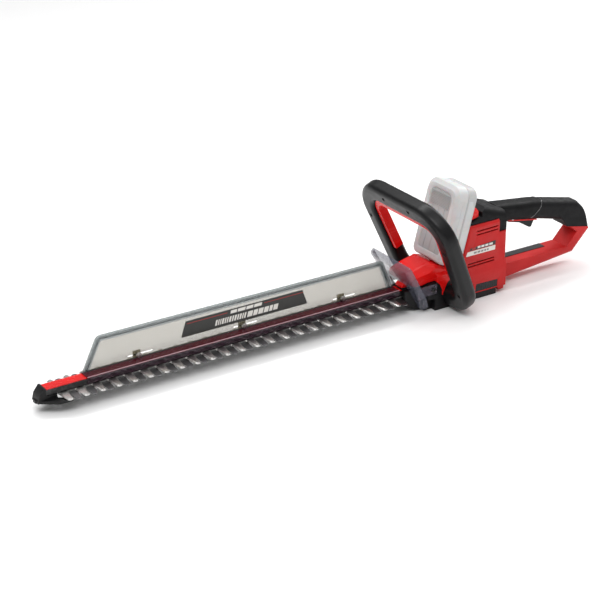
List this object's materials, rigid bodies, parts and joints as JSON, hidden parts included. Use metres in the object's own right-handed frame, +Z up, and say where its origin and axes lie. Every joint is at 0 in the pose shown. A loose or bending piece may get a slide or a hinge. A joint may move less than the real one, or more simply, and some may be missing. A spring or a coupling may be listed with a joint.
{
  "type": "hedge trimmer",
  "caption": "Cordless hedge trimmer with two reciprocating blades on a rail, clear cuttings collector, loop front handle, hand guard, slide-on battery and rear trigger grip.",
  "frame": {"origin": "on the ground under the middle of the overall length, centred across the tool", "axes": "+X towards the rear handle, along the blade; +Y to the far side; +Z up, with the tool standing on its base"},
  "size_m": [0.98, 0.2166, 0.1902],
  "materials": {
    "black_plastic": "fine spark-eroded texture, soft satin sheen",
    "soft_black": "soft-touch overmoulded grip, fine texture",
    "red_plastic": "injection-moulded red plastic, semi-gloss",
    "bright_red_plastic": "brighter red moulded cover, gloss",
    "blade_steel": "laser-cut, ground teeth",
    "rail_metal": "black powder coat",
    "rail_red": "red gloss paint",
    "clear_grey": "smoky clear plastic",
    "clear_smoke": "smoky clear plastic, darker",
    "battery_grey": "pale grey translucent-looking plastic",
    "steel": "plain steel",
    "dark_steel": "black oxide",
    "gear_steel": "hardened, oiled",
    "aluminium": "cast, unpainted",
    "motor_steel": "drawn can, zinc plated",
    "magnet": "ferrite",
    "badge_dark": "printed film",
    "badge_light": "printed film",
    "panel_grey": "dark grey ribbed plastic",
    "cell_blue": "shrink sleeve over steel cells",
    "board_green": "glass-fibre board, solder mask",
    "brass": "plain",
    "spring_steel": "drawn wire"
  },
  "bodies": {
    "housing": {"bar_inlay": "panel_grey", "base_housing": "black_plastic", "battery_bay": "panel_grey", "black_shell_far": "soft_black", "black_shell_near": "soft_black", "blade_bolts": "dark_steel", "blade_nuts": "steel", "blade_spacers": "steel", "collector_studs": "steel", "control_board": "board_green", "dark_badges": "badge_dark", "front_microswitch": "panel_grey", "gear_axle": "steel", "gearbox_cover": "bright_red_plastic", "gearbox_frame": "aluminium", "guard_screws": "dark_steel", "guide_rail": "rail_metal", "hand_guard": "clear_smoke", "light_badges": "badge_light", "loop_front_shell": "black_plastic", "loop_rear_shell": "black_plastic", "loop_screws": "dark_steel", "motor_bearings": "steel", "motor_can": "motor_steel", "motor_magnets": "magnet", "protector_screw": "dark_steel", "rail_screws": "dark_steel", "rail_strip": "rail_red", "rear_switch": "panel_grey", "red_shell_far": "red_plastic", "red_shell_near": "red_plastic", "shell_screws": "dark_steel", "side_panels": "panel_grey", "stud_lugs": "dark_steel", "terminal_block": "brass", "tip_protector": "black_plastic", "trigger_bezel": "bright_red_plastic", "trigger_pin": "steel", "trigger_spring": "spring_steel"},
    "upper_blade_body": {"upper_blade": "blade_steel"},
    "lower_blade_body": {"lower_blade": "blade_steel"},
    "drive_gear_body": {"drive_gear": "gear_steel"},
    "motor_rotor_body": {"motor_rotor": "gear_steel"},
    "collector": {"cuttings_collector": "clear_grey", "collector_badge": "badge_dark"},
    "battery": {"battery_front_case": "battery_grey", "battery_rear_case": "battery_grey", "battery_cells": "cell_blue"},
    "release_button": {"battery_release": "bright_red_plastic"},
    "trigger": {"rear_trigger": "black_plastic"},
    "switch_bar": {"front_switch_bar": "bright_red_plastic"}
  },
  "joints": [
    {"name": "upper_blade_stroke", "type": "slide", "parent": "housing", "child": "upper_blade_body", "axis": [1, 0, 0], "range_m": [0, 0.0125]},
    {"name": "lower_blade_stroke", "type": "slide", "parent": "housing", "child": "lower_blade_body", "axis": [1, 0, 0], "range_m": [-0.0125, 0]},
    {"name": "drive_gear_spin", "type": "hinge", "parent": "housing", "child": "drive_gear_body", "pos_m": [0.216, 0, 0.03], "axis": [0, 0, 1], "continuous": true},
    {"name": "motor_spin", "type": "hinge", "parent": "housing", "child": "motor_rotor_body", "pos_m": [0.2472, 0, 0.06], "axis": [0, 0, 1], "continuous": true},
    {"name": "collector_slide", "type": "slide", "parent": "housing", "child": "collector", "axis": [1, 0, 0], "range_m": [-0.02, 0.002]},
    {"name": "battery_slide", "type": "slide", "parent": "housing", "child": "battery", "axis": [0.2588, 0, 0.9659], "range_m": [0, 0.12]},
    {"name": "release_press", "type": "slide", "parent": "housing", "child": "release_button", "axis": [1, 0, 0], "range_m": [0, 0.003], "stiffness_N_per_m": 1200},
    {"name": "trigger_pull", "type": "hinge", "parent": "housing", "child": "trigger", "pos_m": [0.331, 0, 0.1046], "axis": [0, 1, 0], "range_deg": [-7, 0], "stiffness_Nm_per_rad": 1.2, "deforming": ["trigger_spring"]},
    {"name": "switch_bar_squeeze", "type": "slide", "parent": "housing", "child": "switch_bar", "axis": [-0.4067, 0, 0.9135], "range_m": [0, 0.003], "stiffness_N_per_m": 1500}
  ],
  "couplings": [
    {"joint": "lower_blade_stroke", "follows": "upper_blade_stroke", "ratio": -1},
    {"joint": "motor_spin", "follows": "drive_gear_spin", "ratio": -3.3333}
  ]
}
